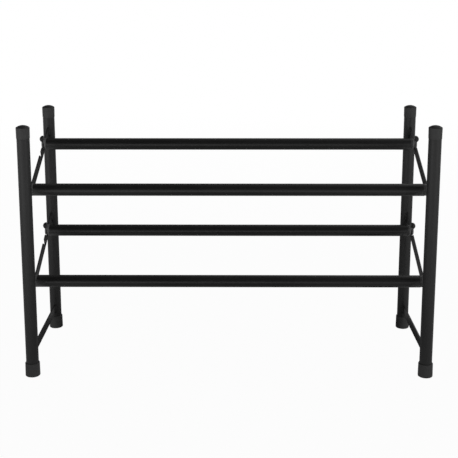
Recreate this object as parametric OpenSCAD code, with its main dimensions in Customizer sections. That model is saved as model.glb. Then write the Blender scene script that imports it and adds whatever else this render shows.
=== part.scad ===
// Expandable shoe rack: two end frames of round tube and flat bar, joined by two sloping tiers of rails.
// Each rail is an outer tube held by the left frame and an inner tube held by the right frame.
// X runs to the right, Y to the back and Z up. The origin is on the floor, below the middle of the
// closed rack. All sizes are in millimetres.

/* [Overall] */
// Distance between the left and right post axes while the rack is pushed together
closed_span = 608; // [420:1:900]
// Distance between the front and back post axes
frame_depth = 205; // [170:1:320]
// Height of the upper ends of the post tubes
post_top = 372.5; // [368:0.5:600]

/* [Posts] */
// Outside diameter of the post tubes, over their coat
post_d = 19.4; // [16:0.1:25]
// Wall of the post tubes
post_wall = 0.9; // [0.7:0.1:1.5]

/* [Caps] */
// Height of a cap's head above its tube
cap_h = 20.6; // [10:0.1:40]
// How much wider than the tube the head is at its seam
cap_step = 0.7; // [0.2:0.1:2]
// How much wider still the head is below its rounded edge
cap_flare = 0.4; // [0.1:0.1:2]
// Height of the groove between the tube's end and the head
cap_groove = 1; // [0.3:0.1:1.5]
// Radius of the head's upper edge
cap_edge_r = 1.2; // [0.5:0.1:3]
// Rise of the domed crown above that edge
cap_crown = 2.8; // [0.5:0.1:4]
// Length of a cap's stem inside its tube
cap_stem = 15; // [5:1:30]

/* [Feet] */
// Height of a foot
foot_h = 21.5; // [12:0.5:26]
// Wall of a foot's sleeve near the floor
foot_wall = 1.65; // [1.5:0.05:4]
// How much narrower the sleeve is at its top
foot_taper = 0.5; // [0:0.1:0.6]
// Thickness of a foot under its tube
foot_floor = 3; // [2:0.5:8]
// Radius of a foot's lower edge
foot_low_r = 1.5; // [0.5:0.1:1.8]
// Radius of a foot's upper edge
foot_top_r = 1; // [0.3:0.1:1.1]

/* [Strips] */
// Width of the flat bars
strip_w = 15; // [13:0.5:20]
// Thickness of the flat bars
strip_t = 2; // [1.5:0.1:3]
// Slope of the two tiers down to the front, in degrees
slope = 23; // [5:1:25]
// Distance from the posts' tops down to the upper rails' plane, half way between the posts
upper_drop = 61.5; // [57:0.5:90]
// Distance from the upper rails' plane down to the lower one
tier_gap = 147; // [100:1:180]
// How far the middle of a sloping bar lies below its rails' axes, square to the bar
strip_drop = 1.4; // [0:0.1:2]
// Height of the middle of the bottom bars
bottom_z = 35.5; // [35:0.5:60]
// How far the floor of a plug's notch runs on to the front of its rail's axis, along the bar
notch_run = 14; // [5:0.5:18]
// Lean of the front walls of the notches and spare slots, in degrees
slot_lean = 33; // [0:1:40]
// Distance along the bar from a back rail's axis to the back wall of a spare slot in the left frame
slot_start = 31.5; // [28:0.5:45]
// Length of a spare slot's floor
slot_w = 4.5; // [3:0.5:10]
// Depth of the spare slots below the rails' axes, square to the bar
slot_low = 4.5; // [0:0.5:5]

/* [Rails] */
// Outside diameter of the outer tubes
outer_d = 19; // [17:0.5:20]
// Wall of the outer and inner tubes
rail_wall = 0.8; // [0.6:0.1:1.2]
// Distance from the front posts' axes back to the front rails' axes
front_inset = 42.5; // [30:0.5:50]
// Distance from the back posts' axes forward to the back rails' axes
back_inset = 45.5; // [30:0.5:50]
// Gap between a guide bush and the collar that closes on it
closed_gap = 0.3; // [0.3:0.1:3]
// Width of the dimple that holds a guide bush in its outer tube
dimple_d = 6; // [3:0.5:7]
// Depth of that dimple
dimple_depth = 0.4; // [0.2:0.05:0.5]
// Distance from the outer tube's open end to the middle of the dimple
dimple_inset = 9.5; // [5:0.5:12]
// Direction of the dimple, in degrees down from level on the front of the tube
dimple_angle = 35; // [0:5:90]
// Gap in a closed rail between the glide and the end of the left plug
glide_gap = 4; // [2:0.5:20]

/* [Rail fittings] */
// Length of a plug's stem inside its tube
plug_stem = 20; // [10:1:30]
// Thickness of a plug's collar between the tube and the bar
collar_t = 3; // [2:0.25:6]
// Outside diameter of the right plugs' collars
right_collar_d = 18; // [16.5:0.1:19]
// Width of a plug's neck, which lies in a notch of the bar
neck_w = 9; // [6:0.5:12]
// Depth of a neck's underside below the rail's axis, square to the bar
neck_low = 3; // [0:0.1:5]
// Diameter of the flange outside the bar
flange_d = 15; // [12:0.5:17]
// Thickness of that flange
flange_t = 2.5; // [1.5:0.1:4]
// Diameter of the round head outside the bar
knob_d = 11.2; // [9:0.1:13]
// Height of the head's middle above the rail's axis, square to the bar
knob_rise = 9.6; // [6:0.1:11]
// Wall of a guide bush's sleeve
bush_wall = 0.85; // [0.6:0.05:1.2]
// Length of that sleeve inside the outer tube
bush_sleeve = 15; // [8:1:40]
// Thickness of a guide bush's flange
bush_flange = 2.5; // [1.5:0.25:5]
// Length of a glide's head inside the outer tube
glide_head = 12; // [6:1:30]
// Length of a glide's stem inside the inner tube
glide_stem = 12; // [6:1:30]

/* [Fits] */
// Clearance on each side of a plug, cap, bush or neck in its seat
seat_gap = 0.05; // [0.02:0.01:0.1]
// Running clearance on each side of an inner tube or a glide
slide_gap = 0.05; // [0.02:0.01:0.1]
// Gap at the welds between a bar's end and its post
weld_gap = 0.05; // [0.02:0.01:0.2]

/* [Hidden] */
SIDES = ["left", "right"];
ROWS = ["front", "back"];
LEVELS = ["upper", "lower"];

$fn = 96;
steel = [0.16, 0.16, 0.17];
plastic = [0.21, 0.21, 0.21];
// Overshoot of a cutting shape past the face that it cuts
past = 1;
// Bevel on the rims of collars, flanges, stems and glides
rim_bevel = 0.5;
// Straight steps in a quarter of a rounded edge
arc_steps = 6;
// Steps from a cap's edge to the top of its crown
crown_steps = 8;

post_bore = post_d - 2 * post_wall;
outer_bore = outer_d - 2 * rail_wall;
bush_d = outer_bore - 2 * seat_gap;
bush_bore = bush_d - 2 * bush_wall;
inner_d = bush_bore - 2 * slide_gap;
inner_bore = inner_d - 2 * rail_wall;
glide_d = outer_bore - 2 * slide_gap;

// Height of the upper rails' plane half way between the posts
upper_z = post_top - upper_drop;

// Distance from the middle of the closed rack to the tube side of a collar
plug_x = closed_span / 2 - strip_t / 2 - collar_t;
outer_right = plug_x - closed_gap - bush_flange;
inner_left = -plug_x + plug_stem + glide_gap + glide_head;

function side_sign(side) = side == "left" ? -1 : 1;
function post_x(side) = side_sign(side) * closed_span / 2;
function post_y(row) = (row == "front" ? -1 : 1) * frame_depth / 2;
function rail_y(row) = row == "front" ? front_inset - frame_depth / 2 : frame_depth / 2 - back_inset;
function level_z(level) = level == "upper" ? upper_z : upper_z - tier_gap;
function rail_z(level, row) = level_z(level) + rail_y(row) * tan(slope);
function collar_d(side) = side == "left" ? outer_d : right_collar_d;
function plug_bore(side) = side == "left" ? outer_bore : inner_bore;

// Points of an arc about a centre
function arc(centre, r, from, to) =
    [for (i = [0:arc_steps])
        let (a = from + (to - from) * i / arc_steps)
            centre + r * [cos(a), sin(a)]];

// Round bar along +Z with a bevel at each end
module bevelled_rod(d, h) {
    rotate_extrude()
        polygon([[0, 0], [d / 2 - rim_bevel, 0], [d / 2, rim_bevel], [d / 2, h - rim_bevel],
            [d / 2 - rim_bevel, h], [0, h]]);
}

// Tube along +Z
module tube(outside, bore, h) {
    difference() {
        cylinder(d = outside, h = h);
        translate([0, 0, -past]) cylinder(d = bore, h = h + 2 * past);
    }
}

// Turns a shape that stands along +Z so that it lies along +X
module along_x() {
    rotate([0, 90, 0]) children();
}

// Moves a shape to a rail's axis
module at_rail(level, row, x) {
    translate([x, rail_y(row), rail_z(level, row)]) children();
}

// Post: a round tube that stands on its foot's floor
module post(side, row) {
    color(steel)
        translate([post_x(side), post_y(row), foot_floor])
            tube(post_d, post_bore, post_top - foot_floor);
}

// Top cap: a slightly flared head with a groove below it and a domed crown above, and a stem in the tube
module top_cap(side, row) {
    stem_r = post_bore / 2 - seat_gap;
    seat_r = (post_d - post_wall) / 2;
    seam_r = (post_d + cap_step) / 2;
    head_r = seam_r + cap_flare / 2;
    crown_r = head_r - cap_edge_r;
    edge_z = cap_h - cap_crown - cap_edge_r;
    ball_r = (crown_r * crown_r + cap_crown * cap_crown) / (2 * cap_crown);
    tilt = asin(crown_r / ball_r);
    color(plastic)
        translate([post_x(side), post_y(row), post_top])
            rotate_extrude()
                polygon(concat(
                    [[0, -cap_stem], [stem_r - rim_bevel, -cap_stem], [stem_r, rim_bevel - cap_stem],
                        [stem_r, 0], [seat_r, 0], [seat_r, cap_groove], [seam_r, cap_groove]],
                    arc([crown_r, edge_z], cap_edge_r, 0, 90 - tilt),
                    [for (i = [1:crown_steps])
                        let (a = tilt * (1 - i / crown_steps), r = ball_r + cap_edge_r)
                            [r * sin(a), cap_h - r * (1 - cos(a))]]
                ));
}

// Foot: a slightly tapered cup over the end of the post
module foot(side, row) {
    bore_r = post_d / 2 + seat_gap;
    foot_r = bore_r + foot_wall;
    upper_r = foot_r - foot_taper / 2;
    color(plastic)
        translate([post_x(side), post_y(row), 0])
            rotate_extrude()
                polygon(concat(
                    [[0, 0]],
                    arc([foot_r - foot_low_r, foot_low_r], foot_low_r, -90, 0),
                    arc([upper_r - foot_top_r, foot_h - foot_top_r], foot_top_r, 0, 90),
                    [[bore_r, foot_h], [bore_r, foot_floor], [0, foot_floor]]
                ));
}

// Room between the front and back posts of a side, from the floor up
module between_posts(side) {
    room = frame_depth - post_d - 2 * weld_gap;
    translate([post_x(side) - strip_t / 2, -room / 2, 0]) cube([strip_t, room, post_top]);
}

// Cut through a bar, laid along the slope: a square back wall, a floor, and a front wall that leans out
module hook_cut(back, front, low) {
    reach = (strip_w - low) * tan(slot_lean);
    translate([-strip_t / 2 - past, 0, 0])
        rotate([90, 0, 90])
            linear_extrude(height = strip_t + 2 * past)
                polygon([[back, low], [back, strip_w], [front - reach, strip_w], [front, low]]);
}

// Sloping bar, notched from above for the necks of its two plugs; the left one also has a spare slot
module sloping_strip(side, level) {
    reach = frame_depth;
    color(steel)
        difference() {
            intersection() {
                between_posts(side);
                translate([post_x(side), 0, level_z(level)])
                    rotate([slope, 0, 0])
                        translate([-strip_t / 2, -reach, -strip_drop - strip_w / 2])
                            cube([strip_t, 2 * reach, strip_w]);
            }
            for (row = ROWS)
                at_rail(level, row, post_x(side))
                    rotate([slope, 0, 0])
                        hook_cut(neck_w / 2 + seat_gap, -notch_run, -neck_low - seat_gap);
            if (side == "left")
                at_rail(level, "back", post_x(side))
                    rotate([slope, 0, 0])
                        hook_cut(-slot_start, -slot_start - slot_w, -slot_low);
        }
}

// Level bar near the floor, which ties the two posts together
module bottom_strip(side) {
    color(steel)
        intersection() {
            between_posts(side);
            translate([post_x(side) - strip_t / 2, -frame_depth, bottom_z - strip_w / 2])
                cube([strip_t, 2 * frame_depth, strip_w]);
        }
}

// Outer rail: the tube of the left frame, with a shallow dimple pressed in near its open end
module outer_rail(level, row) {
    length = plug_x + outer_right;
    ball_r = (dimple_d * dimple_d / 4 + dimple_depth * dimple_depth) / (2 * dimple_depth);
    color(steel)
        at_rail(level, row, -plug_x)
            difference() {
                along_x() tube(outer_d, outer_bore, length);
                rotate([dimple_angle, 0, 0])
                    translate([length - dimple_inset, dimple_depth - outer_d / 2 - ball_r, 0])
                        sphere(r = ball_r);
            }
}

// Inner rail: the tube of the right frame, which slides in the outer one
module inner_rail(level, row) {
    color(steel)
        at_rail(level, row, inner_left)
            along_x() tube(inner_d, inner_bore, plug_x - inner_left);
}

// Right-hand end plug at the end of its tube: stem, collar, neck in the bar's notch, flange and round head
module plug_shape(bore, collar) {
    face = collar_t + strip_t + seat_gap;
    translate([-plug_stem, 0, 0])
        along_x() bevelled_rod(bore - 2 * seat_gap, plug_stem + past);
    along_x() bevelled_rod(collar, collar_t);
    translate([face, 0, 0])
        along_x() bevelled_rod(flange_d, flange_t);
    rotate([slope, 0, 0]) {
        intersection() {
            translate([collar_t - past, 0, 0]) along_x() cylinder(d = collar, h = strip_t + 2 * past);
            translate([collar_t - past, -neck_w / 2, -neck_low])
                cube([strip_t + 2 * past, neck_w, neck_low + collar]);
        }
        intersection() {
            translate([face, 0, knob_rise]) sphere(d = knob_d);
            translate([face, -knob_d, knob_rise - knob_d]) cube(2 * knob_d);
        }
    }
}

// End plug of a rail
module end_plug(level, row, side) {
    color(plastic)
        at_rail(level, row, side_sign(side) * plug_x)
            mirror([side == "left" ? 1 : 0, 0, 0])
                plug_shape(plug_bore(side), collar_d(side));
}

// Guide bush: lines the open end of an outer rail, and the inner rail runs in its bore
module guide_bush(level, row) {
    color(plastic)
        at_rail(level, row, outer_right)
            along_x()
                difference() {
                    union() {
                        bevelled_rod(outer_d, bush_flange);
                        translate([0, 0, -bush_sleeve]) cylinder(d = bush_d, h = bush_sleeve + past);
                    }
                    translate([0, 0, -bush_sleeve - past])
                        cylinder(d = bush_bore, h = bush_sleeve + bush_flange + 2 * past);
                }
}

// Glide: fills the tip of an inner rail and runs in the outer rail's bore
module glide(level, row) {
    color(plastic)
        at_rail(level, row, inner_left)
            along_x() {
                translate([0, 0, -glide_head]) bevelled_rod(glide_d, glide_head);
                translate([0, 0, -past]) bevelled_rod(inner_bore - 2 * seat_gap, glide_stem + past);
            }
}

for (side = SIDES, row = ROWS) {
    post(side, row);
    top_cap(side, row);
    foot(side, row);
}
for (side = SIDES) {
    sloping_strip(side, "upper");
    sloping_strip(side, "lower");
    bottom_strip(side);
}
for (level = LEVELS, row = ROWS) {
    outer_rail(level, row);
    inner_rail(level, row);
    end_plug(level, row, "left");
    end_plug(level, row, "right");
    guide_bush(level, row);
    glide(level, row);
}
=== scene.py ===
"""Expandable shoe rack: finishes for its coated steel and moulded plastic, weld beads, and a pale studio.

Lengths are in metres and angles in degrees. Places on the rack are measured from the frame's own nodes.
"""
import itertools
import math
import random

import bmesh
import bpy
from mathutils import Matrix, Vector, noise


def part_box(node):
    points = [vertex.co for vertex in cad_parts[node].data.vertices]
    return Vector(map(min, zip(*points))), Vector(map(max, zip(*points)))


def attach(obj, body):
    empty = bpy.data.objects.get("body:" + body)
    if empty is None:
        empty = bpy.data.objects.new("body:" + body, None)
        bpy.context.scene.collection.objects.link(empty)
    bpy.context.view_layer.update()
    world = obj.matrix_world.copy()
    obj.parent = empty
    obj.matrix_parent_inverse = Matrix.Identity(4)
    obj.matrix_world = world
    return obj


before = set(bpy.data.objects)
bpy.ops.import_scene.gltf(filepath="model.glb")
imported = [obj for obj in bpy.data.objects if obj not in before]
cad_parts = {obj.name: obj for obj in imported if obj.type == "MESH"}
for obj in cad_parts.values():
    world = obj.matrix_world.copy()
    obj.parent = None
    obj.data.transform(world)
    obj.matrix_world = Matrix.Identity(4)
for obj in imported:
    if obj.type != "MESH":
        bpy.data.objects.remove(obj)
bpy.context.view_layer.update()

MM = 0.001
SIDES = ("left", "right")
ROWS = ("front", "back")
LEVELS = ("upper", "lower")
BARS = ("upper", "lower", "bottom")
random.seed(7)


def along_x(name):
    """The middle and half the length of a node along X."""
    low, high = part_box(name)
    return (low.x + high.x) / 2, (high.x - low.x) / 2


def rail_axis(level, row):
    """The Y and Z of an outer rail's axis."""
    low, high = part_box(f"{level}_{row}_outer_rail")
    return (low.y + high.y) / 2, (low.z + high.z) / 2


# The posts' distance from the middle and their radius, half a bar's thickness, and the guide bushes' place
SPAN, POST_RADIUS = along_x("right_front_post")
BAR_HALF = along_x("right_upper_strip")[1]
BUSH_MIDDLE, BUSH_HALF = along_x("upper_front_guide_bush")

# The slope of a tier, the height of the lower one at Y = 0, and the height from it to the upper one
(FRONT_Y, FRONT_Z), (BACK_Y, BACK_Z) = rail_axis("lower", "front"), rail_axis("lower", "back")
SLOPE = (BACK_Z - FRONT_Z) / (BACK_Y - FRONT_Y)
LOWER_Z = FRONT_Z - FRONT_Y * SLOPE
TIER_GAP = rail_axis("upper", "front")[1] - FRONT_Z

# The camera's lens, place, turns and shifts
LENS = 76.05
EYE = Vector((3.1, -1507.1, 627.5)) * MM
PITCH, YAW, ROLL = 11.419, -0.495, -0.074
SHIFT_X, SHIFT_Y = 0.0139, -0.155

# The floor lies this far below the feet
FLOOR_DROP = 0.1 * MM
FLOOR_RADIUS, FLOOR_SEGMENTS = 60.0, 64
FLOOR_COLOUR = (0.9, 0.9, 0.9)
WHITE = (1, 1, 1, 1)
# Share of plain white in it as the camera sees it: near the rack, where the shadow falls, and far off, and
# the distances between which that turns
GLOW_NEAR, GLOW_FAR, GLOW_TURN = 0.965, 1.0, (0.5, 2.5)

# What the coats mirror. The floor's strength at places along Y, from far ahead of the rack to behind it
FLOOR_STOPS = (
    (-3.2, 0.5), (-2.0, 1.12), (-0.9, 1.12), (-0.4, 0.38), (-0.15, 0.38),
    (0.15, 0.42), (0.5, 0.21), (1.2, 0.03), (2.2, 0.03), (4.0, 0.3),
)
# Shares of the studio's lighter left and its right, and where along X the floor turns between them
LEFT_SHARE, RIGHT_SHARE, FLOOR_SIDES = 1.1, 0.75, (-0.5, 0.4)
# The floor's share below the middle of the rails, and the distances along X between which that ends
MIDDLE_SHARE, MIDDLE_TURN = 0.5, (0.1, 0.32)
# Where along Y the shares of left and right give way to the one below the rails
NEAR_TURN = (-0.9, -0.4)
# The floor's least strength at distances along X from the middle
SIDE_STOPS = ((0.45, 0.0), (0.9, 0.2), (1.5, 0.4), (3.0, 0.9))
# Its shade inside the side frames: share, distance inwards from the posts' axes, middle and half length
# along Y, and how far out from there it fades
FRAME_SHADE, SHADE_INSET, SHADE_MIDDLE, SHADE_HALF, SHADE_EDGE = 0.02, 0.042, 0.05, 0.06, (0.025, 0.045)

# The room that the coats mirror: strength of its walls and ceiling ahead and behind, and the parts of a
# direction between which ahead turns into behind, and wall into ceiling
WALL_AHEAD, WALL_BEHIND, WALL_TURN = 0.5, 0.1, (-0.5, 0.3)
CEILING_AHEAD, CEILING_BEHIND, CEILING_TURN = 0.07, 0.2, (-0.3, 0.6)
WALL_TOP = (0.02, 0.2)
# Where the walls turn from the left share to the right one, and how many times the ceiling grows there
WALL_SIDES = (-0.6, 0.6)
CEILING_GROWTH, CEILING_SIDES = 4.0, (0, 0.25)

# Each lamp's name and place, and the side and power in watts of its square panel
LAMPS = (("key_left", (-1.5, -1.4, 0.6)), ("fill_right", (1.6, -1.4, 0.6)))
LAMP_SIDE, LAMP_WATTS = 0.8, 3
AIM = Vector((0, 0, 180)) * MM

# Weld beads: radius, length of a step along the seam, and points around it
BEAD_RADIUS, BEAD_STEP, BEAD_SIDES = 2 * MM, 0.3 * MM, 12
# Length of a ripple and of a slow change in width, each with its share of the radius
RIPPLE_LENGTH, RIPPLE_SHARE = 1.8 * MM, 0.13
WANDER_CELL, WANDER_SHARE = 4 * MM, 0.12
# A bead's radius at its tips, as a share, and how fast it swells from there
TIP_SHARE, TIP_SWELL = 0.25, 6
# Points this close to a bar's end are on its end face
END_MARGIN = 0.2 * MM

# Rounding of the bars' edges and of the rails' rims, and the least angle of an edge that is rounded
STRIP_SOFT, TUBE_SOFT = 0.35 * MM, 0.2 * MM
SOFT_SEGMENTS, SOFT_ANGLE = 2, 40

# The ranges that most of a noise lies in
BODY, WIDE_BODY = (0.3, 0.7), (0.25, 0.75)
# Lengths of the noises' cells along X, Y and Z
DRIFT_CELLS = (90 * MM, 50 * MM, 70 * MM)
SPECKLE_CELLS = (0.7 * MM,) * 3
GRAIN_CELLS = (0.45 * MM,) * 3
SCRATCH_CELLS = (70 * MM, 0.5 * MM, 0.5 * MM)
PATCH_CELLS = (50 * MM, 6 * MM, 6 * MM)
FLOW_CELLS = (12 * MM, 12 * MM, 30 * MM)
MOTTLE_CELLS = (50 * MM,) * 3
# The darkest and lightest tone that a noise gives a colour
COAT_TONES, PLASTIC_TONES, FLOOR_TONES = (0.86, 1.12), (0.88, 1.1), (0.985, 1.015)
# How far a noise moves the roughness to each side
COAT_GLOSS, PLASTIC_GLOSS = 0.05, 0.06
# The coats' specks and the plastic's rubbed high spots: where a noise shows them, their most and their tone
SPECK_PEAKS, SPECK_MOST, SPECK_TONE = (0.62, 0.78), 0.5, 1.7
SPOT_PEAKS, SPOT_MOST, SPOT_TONE = (0.55, 0.8), 0.6, 1.6
# Scratches of the inner rails: where noises show their lines and patches, and their most
SCRATCH_PEAKS, PATCH_PEAKS, SCRATCH_MOST = (0.62, 0.7), (0.45, 0.6), 0.7

# Painted light lightens the outer rails' coat over this length at their ends, less so between these heights
# above their axes, at the back by this share of the front, and unevenly by these shares
END_LIGHT_REACH = 30 * MM
END_LIGHT_LOW, END_LIGHT_HIGH = 2 * MM, 9 * MM
BACK_END_LIGHT = 0.45
END_LIGHT_TONES = (0.7, 1.1)

# A plug's round head is all that lies this far outside its bar, or this far above the rail's axis beside it
HEAD_OUT, HEAD_LOW = 2.7 * MM, 8 * MM
# A guide bush is found with this much to spare at its ends
BUSH_MARGIN = 0.1 * MM
# A cap's domed crown starts this far below its top, and painted shade darkens it, fading in over this
# height
CROWN_DROP, CROWN_SHADE_FADE = 4 * MM, 1 * MM
CROWN_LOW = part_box("left_front_cap")[1].z - CROWN_DROP

# Cells of the orange peel on the frames and on the rails, where it is drawn out along X
ROUND_PEEL, LONG_PEEL = (1.6 * MM,) * 3, (6 * MM, 1.6 * MM, 1.6 * MM)

# Colours
POWDER_BLACK = (0.013, 0.013, 0.0132)
# The outer rails' second grey is painted light, which lightens their ends
RAIL_BLACK, END_LIGHT_GREY, SCRATCH_GREY = (0.007, 0.007, 0.0072), (0.15,) * 3, (0.05,) * 3
# The caps' second colour is painted shade on their domed crowns
CAP_GREY, CROWN_SHADE = (0.042,) * 3, (0.008,) * 3
FITTING_GREY, BUSH_GREY, HEAD_BLACK = (0.15,) * 3, (0.06,) * 3, (0.004,) * 3


def node(tree, kind, inputs=None, **settings):
    """Adds a shader node, sets its properties, and fills or links its inputs."""
    made = tree.nodes.new("ShaderNode" + kind)
    for key, value in settings.items():
        setattr(made, key, value)
    for key, value in (inputs or {}).items():
        if isinstance(value, bpy.types.NodeSocket):
            tree.links.new(value, made.inputs[key])
        else:
            made.inputs[key].default_value = value
    return made


def maths(tree, operation, *values):
    """One step of arithmetic on fields or numbers."""
    return node(tree, "Math", dict(enumerate(values)), operation=operation).outputs[0]


def split(tree, vector):
    """The X, Y and Z of a vector."""
    return tuple(node(tree, "SeparateXYZ", {0: vector}).outputs)


def between(tree, field, low, high, to_low, to_high):
    """Maps a field from one range to another, level beyond its ends."""
    inputs = {"Value": field, "From Min": low, "From Max": high, "To Min": to_low, "To Max": to_high}
    return node(tree, "MapRange", inputs).outputs["Result"]


def graded(tree, field, stops):
    """A value along a field, straight between the stops' places and level beyond them."""
    first, last = stops[0][0], stops[-1][0]
    made = node(tree, "ValToRGB", {0: between(tree, field, first, last, 0, 1)})
    ramp = made.color_ramp.elements
    for i, (place, value) in enumerate(stops):
        share = (place - first) / (last - first)
        stop = ramp[i] if i in (0, 1) else ramp.new(share)
        stop.position = share
        stop.color = (value, value, value, 1)
    return made.outputs["Color"]


def noise_field(tree, place, cells, detail, rough):
    """Noise whose cells have the given lengths along X, Y and Z."""
    scale = [1 / cell for cell in cells]
    vector = node(tree, "Mapping", {"Vector": place, "Scale": scale}).outputs["Vector"]
    made = node(tree, "TexNoise", {"Vector": vector, "Scale": 1.0, "Detail": detail, "Roughness": rough})
    return made.outputs["Fac"]


def tone(colour, factor):
    """A colour made darker or lighter."""
    return tuple(channel * factor for channel in colour)


def blended(tree, share, first, second):
    """Mixes two colours, fields or plain ones, by a share from 0 to 1."""
    ends = [end if isinstance(end, bpy.types.NodeSocket) else (*end, 1) for end in (first, second)]
    return node(tree, "Mix", {0: share, 6: ends[0], 7: ends[1]}, data_type="RGBA").outputs[2]


def drifting(tree, field, colour, tones):
    """A colour that a noise turns from a darker to a lighter tone."""
    return blended(tree, between(tree, field, *BODY, 0, 1), tone(colour, tones[0]), tone(colour, tones[1]))


def bumped(tree, height, depth, below=None):
    """Raises the surface by a field times a depth, over another bump if one is given."""
    inputs = {"Height": height, "Distance": depth, "Strength": 1.0}
    if below is not None:
        inputs["Normal"] = below
    return node(tree, "Bump", inputs).outputs["Normal"]


def empty_material(name):
    """A new material, its cleared node tree, and the places of its surface in its object."""
    made = bpy.data.materials.new(name)
    made.use_nodes = True
    made.node_tree.nodes.clear()
    return made, made.node_tree, node(made.node_tree, "TexCoord").outputs["Object"]


def finish_material(made, tree, shader_inputs):
    """Ends a material in one glossy shader."""
    shader = node(tree, "BsdfPrincipled", shader_inputs)
    node(tree, "OutputMaterial", {"Surface": shader.outputs["BSDF"]})
    return made


def rail_rise(tree, y, z):
    """Height above the sloping plane through the rails' axes of a place's own tier."""
    above = maths(tree, "SUBTRACT", z, maths(tree, "MULTIPLY", y, SLOPE))
    above = maths(tree, "MODULO", maths(tree, "SUBTRACT", above, LOWER_Z - TIER_GAP / 4), TIER_GAP)
    return maths(tree, "SUBTRACT", above, TIER_GAP / 4)


def painted_end_light(tree, place, speckle):
    """How much painted light lightens an outer rail's coat: towards its ends, low on it, and more on the
    front rails.
    """
    x, y, z = split(tree, place)
    towards_end = between(tree, maths(tree, "ABSOLUTE", x), SPAN - END_LIGHT_REACH, SPAN, 0, 1)
    share = maths(tree, "POWER", towards_end, 2)
    share = maths(tree, "MULTIPLY", share, between(tree, rail_rise(tree, y, z), END_LIGHT_LOW, END_LIGHT_HIGH, 1, 0))
    share = maths(tree, "MULTIPLY", share, between(tree, y, FRONT_Y, BACK_Y, 1, BACK_END_LIGHT))
    return maths(tree, "MULTIPLY", share, between(tree, speckle, *BODY, *END_LIGHT_TONES))


def scratches(tree, place):
    """Where sliding leaves fine scratches along X on an inner rail, in patches."""
    lines = noise_field(tree, place, SCRATCH_CELLS, detail=1.0, rough=0.5)
    patches = noise_field(tree, place, PATCH_CELLS, detail=1.0, rough=0.5)
    share = between(tree, lines, *SCRATCH_PEAKS, 0, 1)
    return maths(tree, "MULTIPLY", share, between(tree, patches, *PATCH_PEAKS, 0, SCRATCH_MOST))


def coat_material(name, colour, roughness, peel_cells, peel_depth, grain_depth,
                  end_light_colour=None, scratched=None):
    """Baked coat on steel: drifting tone, lighter specks, orange peel and a fine grain.

    A colour given for painted light lightens the rails' ends, and the scratched one shows in fine lines
    along them.
    """
    made, tree, place = empty_material(name)
    drift = noise_field(tree, place, DRIFT_CELLS, detail=3.0, rough=0.55)
    speckle = noise_field(tree, place, SPECKLE_CELLS, detail=2.0, rough=0.6)
    peel = noise_field(tree, place, peel_cells, detail=2.0, rough=0.45)
    grain = noise_field(tree, place, GRAIN_CELLS, detail=2.0, rough=0.6)
    base = drifting(tree, drift, colour, COAT_TONES)
    specks = between(tree, speckle, *SPECK_PEAKS, 0, SPECK_MOST)
    base = blended(tree, specks, base, tone(colour, SPECK_TONE))
    if end_light_colour is not None:
        # Painted light: lighter towards the outer rails' ends, low on them
        base = blended(tree, painted_end_light(tree, place, speckle), base, end_light_colour)
    if scratched is not None:
        base = blended(tree, scratches(tree, place), base, scratched)
    gloss = between(tree, drift, *WIDE_BODY, roughness - COAT_GLOSS, roughness + COAT_GLOSS)
    normal = bumped(tree, grain, grain_depth, below=bumped(tree, peel, peel_depth))
    return finish_material(made, tree, {"Base Color": base, "Roughness": gloss, "Normal": normal})


def moulded(tree, place, colour, roughness, spark_cell, spark_depth):
    """Shader inputs of moulded plastic: spark-eroded texture, slight flow marks and rubbed high spots."""
    flow = noise_field(tree, place, FLOW_CELLS, detail=2.0, rough=0.5)
    spark = noise_field(tree, place, (spark_cell,) * 3, detail=3.0, rough=0.6)
    base = drifting(tree, flow, colour, PLASTIC_TONES)
    spots = between(tree, spark, *SPOT_PEAKS, 0, SPOT_MOST)
    base = blended(tree, spots, base, tone(colour, SPOT_TONE))
    gloss = between(tree, spark, *BODY, roughness + PLASTIC_GLOSS, roughness - PLASTIC_GLOSS)
    return {"Base Color": base, "Roughness": gloss, "Normal": bumped(tree, spark, spark_depth)}


def plastic_material(name, colour, crown_shade_colour, roughness, spark_cell, spark_depth):
    """Moulded plastic of the caps and feet; painted shade darkens the caps' domed crowns."""
    made, tree, place = empty_material(name)
    inputs = moulded(tree, place, colour, roughness, spark_cell, spark_depth)
    height = split(tree, place)[2]
    # Painted shade: the domed crowns are darker
    on_shaded_crown = between(tree, height, CROWN_LOW, CROWN_LOW + CROWN_SHADE_FADE, 0, 1)
    inputs["Base Color"] = blended(tree, on_shaded_crown, inputs["Base Color"], crown_shade_colour)
    return finish_material(made, tree, inputs)


def fitting_material(name, colour, bush_colour, head_colour, roughness, spark_cell, spark_depth):
    """Moulded plastic of the rails' fittings; the guide bushes and the plugs' round heads are darker."""
    made, tree, place = empty_material(name)
    inputs = moulded(tree, place, colour, roughness, spark_cell, spark_depth)
    x, y, z = split(tree, place)
    outward = maths(tree, "SUBTRACT", maths(tree, "ABSOLUTE", x), SPAN + BAR_HALF)
    over_flange = maths(tree, "GREATER_THAN", rail_rise(tree, y, z), HEAD_LOW)
    beside_bar = maths(tree, "GREATER_THAN", outward, 0.0)
    beyond_flange = maths(tree, "GREATER_THAN", outward, HEAD_OUT)
    on_head = maths(tree, "MAXIMUM", beyond_flange, maths(tree, "MULTIPLY", over_flange, beside_bar))
    on_bush = maths(tree, "COMPARE", x, BUSH_MIDDLE, BUSH_HALF + BUSH_MARGIN)
    base = blended(tree, on_bush, inputs["Base Color"], bush_colour)
    inputs["Base Color"] = blended(tree, on_head, base, head_colour)
    return finish_material(made, tree, inputs)


def for_camera(tree, seen, mirrored):
    """One shader for what the camera sees, and another for all other rays."""
    camera = node(tree, "LightPath").outputs["Is Camera Ray"]
    return node(tree, "MixShader", {0: camera, 1: mirrored, 2: seen}).outputs[0]


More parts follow.
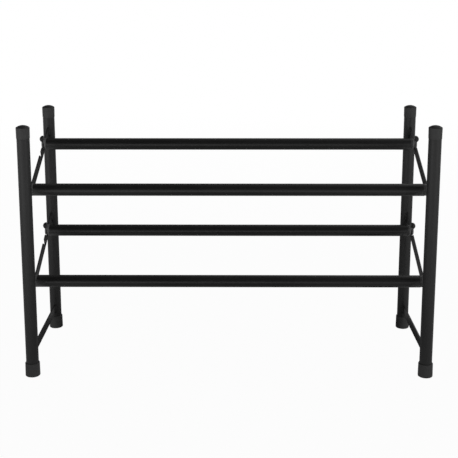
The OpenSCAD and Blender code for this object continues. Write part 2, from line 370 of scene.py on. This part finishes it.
def floor_strength(tree, place):
    """How light the coats mirror the floor at each place."""
    x, y, _ = split(tree, place)
    wide = maths(tree, "ABSOLUTE", x)
    ahead = between(tree, x, *FLOOR_SIDES, LEFT_SHARE, RIGHT_SHARE)
    below = between(tree, wide, *MIDDLE_TURN, MIDDLE_SHARE, 1)
    share = between(tree, y, *NEAR_TURN, ahead, below)
    strength = maths(tree, "MULTIPLY", graded(tree, y, FLOOR_STOPS), share)
    strength = maths(tree, "MAXIMUM", strength, graded(tree, wide, SIDE_STOPS))
    off_frame = maths(tree, "ABSOLUTE", maths(tree, "SUBTRACT", wide, SPAN - SHADE_INSET))
    off_middle = maths(tree, "ABSOLUTE", maths(tree, "SUBTRACT", y, SHADE_MIDDLE))
    far_off = maths(tree, "MAXIMUM", off_frame, maths(tree, "SUBTRACT", off_middle, SHADE_HALF))
    return maths(tree, "MULTIPLY", strength, between(tree, far_off, *SHADE_EDGE, FRAME_SHADE, 1))


def floor_material():
    """Pale floor: the camera sees it white with a soft shadow, and the coats mirror it in softer greys."""
    made, tree, place = empty_material("pale_floor")
    mottle = noise_field(tree, place, MOTTLE_CELLS, detail=3.0, rough=0.6)
    pale = blended(tree, mottle, *(tone(FLOOR_COLOUR, factor) for factor in FLOOR_TONES))
    matt = node(tree, "BsdfDiffuse", {"Color": pale}).outputs[0]
    white = node(tree, "Emission", {"Color": WHITE, "Strength": 1.0}).outputs[0]
    distance = node(tree, "VectorMath", {0: place}, operation="LENGTH").outputs["Value"]
    glow = between(tree, distance, *GLOW_TURN, GLOW_NEAR, GLOW_FAR)
    seen = node(tree, "MixShader", {0: glow, 1: matt, 2: white}).outputs[0]
    soft = node(tree, "Emission", {"Color": WHITE, "Strength": floor_strength(tree, place)}).outputs[0]
    node(tree, "OutputMaterial", {"Surface": for_camera(tree, seen, soft)})
    return made


def make_world():
    """White backdrop for the camera, and for the coats a room that is palest low in front."""
    world = bpy.data.worlds.new("studio")
    bpy.context.scene.world = world
    world.use_nodes = True
    tree = world.node_tree
    tree.nodes.clear()
    x, y, z = split(tree, node(tree, "TexCoord").outputs["Generated"])
    wall = between(tree, y, *WALL_TURN, WALL_AHEAD, WALL_BEHIND)
    wall = maths(tree, "MULTIPLY", wall, between(tree, x, *WALL_SIDES, LEFT_SHARE, RIGHT_SHARE))
    ceiling = between(tree, y, *CEILING_TURN, CEILING_AHEAD, CEILING_BEHIND)
    ceiling = maths(tree, "MULTIPLY", ceiling, between(tree, x, *CEILING_SIDES, 1, CEILING_GROWTH))
    strength = between(tree, z, *WALL_TOP, wall, ceiling)
    room = node(tree, "Background", {"Color": WHITE, "Strength": strength}).outputs[0]
    white = node(tree, "Background", {"Color": WHITE, "Strength": 1.0}).outputs[0]
    node(tree, "OutputWorld", {"Surface": for_camera(tree, white, room)})


def new_object(name, data):
    """An object in the scene that holds the given data."""
    made = bpy.data.objects.new(name, data)
    bpy.context.scene.collection.objects.link(made)
    return made


def make_floor():
    """A flat round floor just under the feet."""
    mesh = bpy.data.meshes.new("floor")
    form = bmesh.new()
    bmesh.ops.create_circle(form, cap_ends=True, radius=FLOOR_RADIUS, segments=FLOOR_SEGMENTS)
    form.to_mesh(mesh)
    form.free()
    mesh.transform(Matrix.Translation((0, 0, -FLOOR_DROP)))
    mesh.materials.append(floor_material())
    new_object("floor", mesh)


def make_lamps():
    """Soft square panels that face the rack."""
    for name, place in LAMPS:
        light = bpy.data.lights.new(name, "AREA")
        light.shape = "SQUARE"
        light.size = LAMP_SIDE
        light.energy = LAMP_WATTS
        lamp = new_object(name, light)
        lamp.location = place
        lamp.rotation_euler = (AIM - Vector(place)).to_track_quat("-Z", "Y").to_euler()


def make_camera():
    """The photograph's viewpoint, turned down more so that its vertical shift stays small."""
    pitch, yaw, roll = (math.radians(angle) for angle in (PITCH, YAW, ROLL))
    ahead = Vector((math.sin(yaw) * math.cos(pitch), math.cos(yaw) * math.cos(pitch), -math.sin(pitch)))
    level = Vector((math.cos(yaw), -math.sin(yaw), 0))
    upright = level.cross(ahead)
    across = level * math.cos(roll) + upright * math.sin(roll)
    up = upright * math.cos(roll) - level * math.sin(roll)
    data = bpy.data.cameras.new("camera")
    data.lens = LENS
    data.shift_x = SHIFT_X
    data.shift_y = SHIFT_Y
    camera = new_object("camera", data)
    camera.matrix_world = Matrix.Translation(EYE) @ Matrix((across, up, -ahead)).transposed().to_4x4()
    bpy.context.scene.camera = camera


def seam_ends(strip, y):
    """The lowest and highest Z of a bar's end face."""
    heights = [v.co.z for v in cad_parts[strip].data.vertices if abs(v.co.y - y) < END_MARGIN]
    return min(heights), max(heights)


def bead_rings(x, y, low, high):
    """Rings of a rippled weld bead that stands along Z and thins out at both ends."""
    count = round((high - low) / BEAD_STEP)
    phase = random.uniform(0, math.tau)
    rings = []
    for i in range(count + 1):
        share = i / count
        z = low + (high - low) * share
        swell = min(1, TIP_SWELL * share + TIP_SHARE, TIP_SWELL * (1 - share) + TIP_SHARE)
        ripple = 1 + RIPPLE_SHARE * abs(math.sin(math.pi * z / RIPPLE_LENGTH + phase))
        wander = WANDER_SHARE * noise.noise(Vector((x, y, z)) / WANDER_CELL)
        radius = BEAD_RADIUS * swell * (ripple + wander)
        rings.append([(x + radius * math.cos(a), y + radius * math.sin(a), z)
                      for a in (math.tau * k / BEAD_SIDES for k in range(BEAD_SIDES))])
    return rings


def add_bead(vertices, faces, rings):
    """Adds a bead's rings to a mesh's points, and its skin and two end faces to the faces."""
    first = len(vertices)
    for ring in rings:
        vertices.extend(ring)
    for i in range(len(rings) - 1):
        corner = first + i * BEAD_SIDES
        for k in range(BEAD_SIDES):
            after = (k + 1) % BEAD_SIDES
            faces.append((corner + k, corner + after, corner + BEAD_SIDES + after, corner + BEAD_SIDES + k))
    faces.append([first + k for k in reversed(range(BEAD_SIDES))])
    faces.append([len(vertices) - BEAD_SIDES + k for k in range(BEAD_SIDES)])


def make_weld(side, bar, row, material):
    """The two beads that join a bar's end to its post, one on each face of the bar."""
    strip = f"{side}_{bar}_strip"
    front_end, back_end = (corner.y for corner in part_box(strip))
    end, towards = (front_end, -1) if row == "front" else (back_end, 1)
    low, high = seam_ends(strip, end)
    post_low, post_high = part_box(f"{side}_{row}_post")
    axis = (post_low + post_high) / 2
    seam_y = axis.y - towards * math.sqrt(POST_RADIUS ** 2 - BAR_HALF ** 2)
    vertices, faces = [], []
    for face in (-1, 1):
        rings = bead_rings(axis.x + face * BAR_HALF, seam_y, low + BEAD_RADIUS, high - BEAD_RADIUS)
        add_bead(vertices, faces, rings)
    mesh = bpy.data.meshes.new(f"{side}_{bar}_{row}_weld")
    mesh.from_pydata(vertices, [], faces)
    mesh.polygons.foreach_set("use_smooth", [True] * len(mesh.polygons))
    mesh.materials.append(material)
    weld = new_object(mesh.name, mesh)
    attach(weld, f"{side}_frame")


def named(*words):
    """The names that join one word of each group."""
    return ["_".join(choice) for choice in itertools.product(*words)]


def soften(names, width):
    """Rounds the sharp rims of CAD nodes a little."""
    for name in names:
        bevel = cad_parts[name].modifiers.new("soft_edges", "BEVEL")
        bevel.width = width
        bevel.segments = SOFT_SEGMENTS
        bevel.limit_method = "ANGLE"
        bevel.angle_limit = math.radians(SOFT_ANGLE)
        bevel.harden_normals = True


def dress(names, material):
    """Gives CAD nodes one material in all their slots."""
    for name in names:
        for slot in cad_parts[name].material_slots:
            slot.material = material


make_camera()
make_world()
make_floor()
make_lamps()
bpy.context.scene.view_settings.view_transform = "Standard"

powder = coat_material("powder_coat", POWDER_BLACK, roughness=0.45, peel_cells=ROUND_PEEL,
                       peel_depth=0.03 * MM, grain_depth=0.006 * MM)
# The rails' coat takes painted light at their ends
enamel = coat_material("rail_coat", RAIL_BLACK, roughness=0.34, peel_cells=LONG_PEEL,
                       peel_depth=0.005 * MM, grain_depth=0.002 * MM, end_light_colour=END_LIGHT_GREY)
slid_enamel = coat_material("inner_rail_coat", RAIL_BLACK, roughness=0.3, peel_cells=LONG_PEEL,
                            peel_depth=0.005 * MM, grain_depth=0.002 * MM, scratched=SCRATCH_GREY)
# The cap plastic's darker crowns are painted shade
cap_plastic = plastic_material("cap_plastic", CAP_GREY, CROWN_SHADE, roughness=0.6,
                               spark_cell=0.6 * MM, spark_depth=0.02 * MM)
fitting_plastic = fitting_material("fitting_plastic", FITTING_GREY, BUSH_GREY, HEAD_BLACK, roughness=0.5,
                                   spark_cell=0.5 * MM, spark_depth=0.015 * MM)

dress(named(SIDES, ROWS, ["post"]), powder)
dress(named(SIDES, BARS, ["strip"]), powder)
dress(named(SIDES, ROWS, ["cap", "foot"]), cap_plastic)
dress(named(LEVELS, ROWS, ["outer_rail"]), enamel)
dress(named(LEVELS, ROWS, ["inner_rail"]), slid_enamel)
dress(named(LEVELS, ROWS, ["left_plug", "right_plug", "guide_bush", "glide"]), fitting_plastic)

soften(named(SIDES, BARS, ["strip"]), STRIP_SOFT)
soften(named(LEVELS, ROWS, ["outer_rail", "inner_rail"]), TUBE_SOFT)

for side, bar, row in itertools.product(SIDES, BARS, ROWS):
    make_weld(side, bar, row, powder)

bpy.context.view_layer.update()
